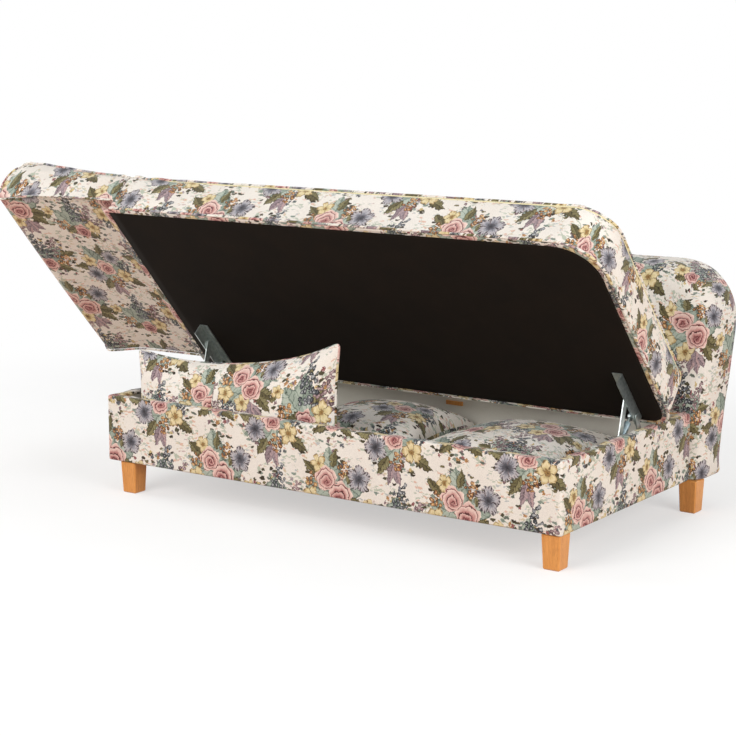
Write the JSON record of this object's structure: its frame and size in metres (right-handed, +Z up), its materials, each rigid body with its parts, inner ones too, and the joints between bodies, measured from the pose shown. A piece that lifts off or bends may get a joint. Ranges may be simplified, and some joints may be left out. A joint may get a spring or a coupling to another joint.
{
  "type": "recamier",
  "caption": "Upholstered recamier with floral fabric, a seat that lifts on links and gas struts over a storage box, a hinged head section, a low padded backrest and tapered wooden legs.",
  "frame": {"origin": "middle of the footprint, on the floor", "axes": "+X along the length towards the foot end, +Y towards the backrest, +Z up"},
  "size_m": [2.0646, 1.0212, 0.9246],
  "materials": {
    "floral": "matte woven tapestry with a floral print",
    "underside": "matte black-brown lining cloth",
    "beech": "clear satin lacquer",
    "board": "raw board",
    "lining": "white faced hardboard",
    "foam": "open-cell foam",
    "webbing": "woven straps",
    "steel": "zinc plated",
    "strut": "smooth blue-grey"
  },
  "bodies": {
    "base": {"back_board": "board", "back_cleat": "beech", "backrest_beam": "board", "backrest_bolt_left": "steel", "backrest_bolt_right": "steel", "backrest_cover": "floral", "backrest_panel": "board", "box_cover": "floral", "corner_plate_left": "board", "corner_plate_right": "board", "cushion_front": "floral", "cushion_long": "floral", "cushion_rear": "floral", "floor_batten_back": "board", "floor_batten_front": "board", "floor_batten_middle": "board", "floor_panel": "lining", "front_board": "board", "left_board": "board", "leg_bolt_front_left": "steel", "leg_bolt_front_right": "steel", "leg_bolt_rear_left": "steel", "leg_bolt_rear_right": "steel", "leg_front_left": "beech", "leg_front_right": "beech", "leg_rear_left": "beech", "leg_rear_right": "beech", "lift_base_left": "steel", "lift_base_right": "steel", "right_board": "board", "wall_lining": "lining"},
    "front_links": {"front_link_left": "steel", "front_link_right": "steel"},
    "rear_links": {"rear_link_left": "steel", "rear_link_right": "steel"},
    "strut_cylinders": {"strut_cylinder_left": "strut", "strut_cylinder_right": "strut"},
    "strut_rods": {"strut_rod_left": "steel", "strut_rod_right": "steel"},
    "lid": {"lid_rail_left": "steel", "lid_rail_right": "steel", "ratchet_pin_back": "steel", "ratchet_pin_front": "steel", "ratchet_seat_arm_back": "steel", "ratchet_seat_arm_front": "steel", "seat_cover": "floral", "seat_foam": "foam", "seat_frame": "board", "seat_piping_low": "floral", "seat_piping_top": "floral", "seat_webbing": "webbing", "underside_cloth": "underside"},
    "headrest": {"headrest_board": "board", "headrest_cover": "floral", "headrest_foam": "foam", "ratchet_head_arm_back": "steel", "ratchet_head_arm_front": "steel"}
  },
  "joints": [
    {"name": "front_link_lift", "type": "hinge", "parent": "base", "child": "front_links", "pos_m": [0.9817, -0.15357, 0.1715], "axis": [1, 0, 0], "range_deg": [-46.85, 0]},
    {"name": "lid_tilt", "type": "hinge", "parent": "front_links", "child": "lid", "pos_m": [0.9817, -0.09563, 0.38172], "axis": [1, 0, 0], "range_deg": [0, 95.45], "deforming": ["cushion_long"]},
    {"name": "rear_link_swing", "type": "hinge", "parent": "base", "child": "rear_links", "pos_m": [0.9817, 0.00167, 0.15405], "axis": [1, 0, 0], "range_deg": [-64.43, 0]},
    {"name": "strut_swing", "type": "hinge", "parent": "base", "child": "strut_cylinders", "pos_m": [0.9817, -0.21557, 0.143], "axis": [1, 0, 0], "range_deg": [-25.18, 0]},
    {"name": "strut_slide", "type": "slide", "parent": "strut_cylinders", "child": "strut_rods", "axis": [0, 0.7081, 0.7061], "range_m": [0, 0.12095]},
    {"name": "headrest_tilt", "type": "hinge", "parent": "lid", "child": "headrest", "pos_m": [-0.5523, -0.35433, 0.88687], "axis": [0, 0.6613, -0.7501], "range_deg": [0, 45]}
  ],
  "couplings": [
    {"joint": "front_link_lift", "follows": "lid_tilt", "ratio": -0.49083},
    {"joint": "rear_link_swing", "follows": "lid_tilt", "ratio": -0.67496},
    {"joint": "strut_swing", "follows": "lid_tilt", "ratio": -0.2638},
    {"joint": "strut_slide", "follows": "lid_tilt", "m_per_rad": 0.072591}
  ]
}
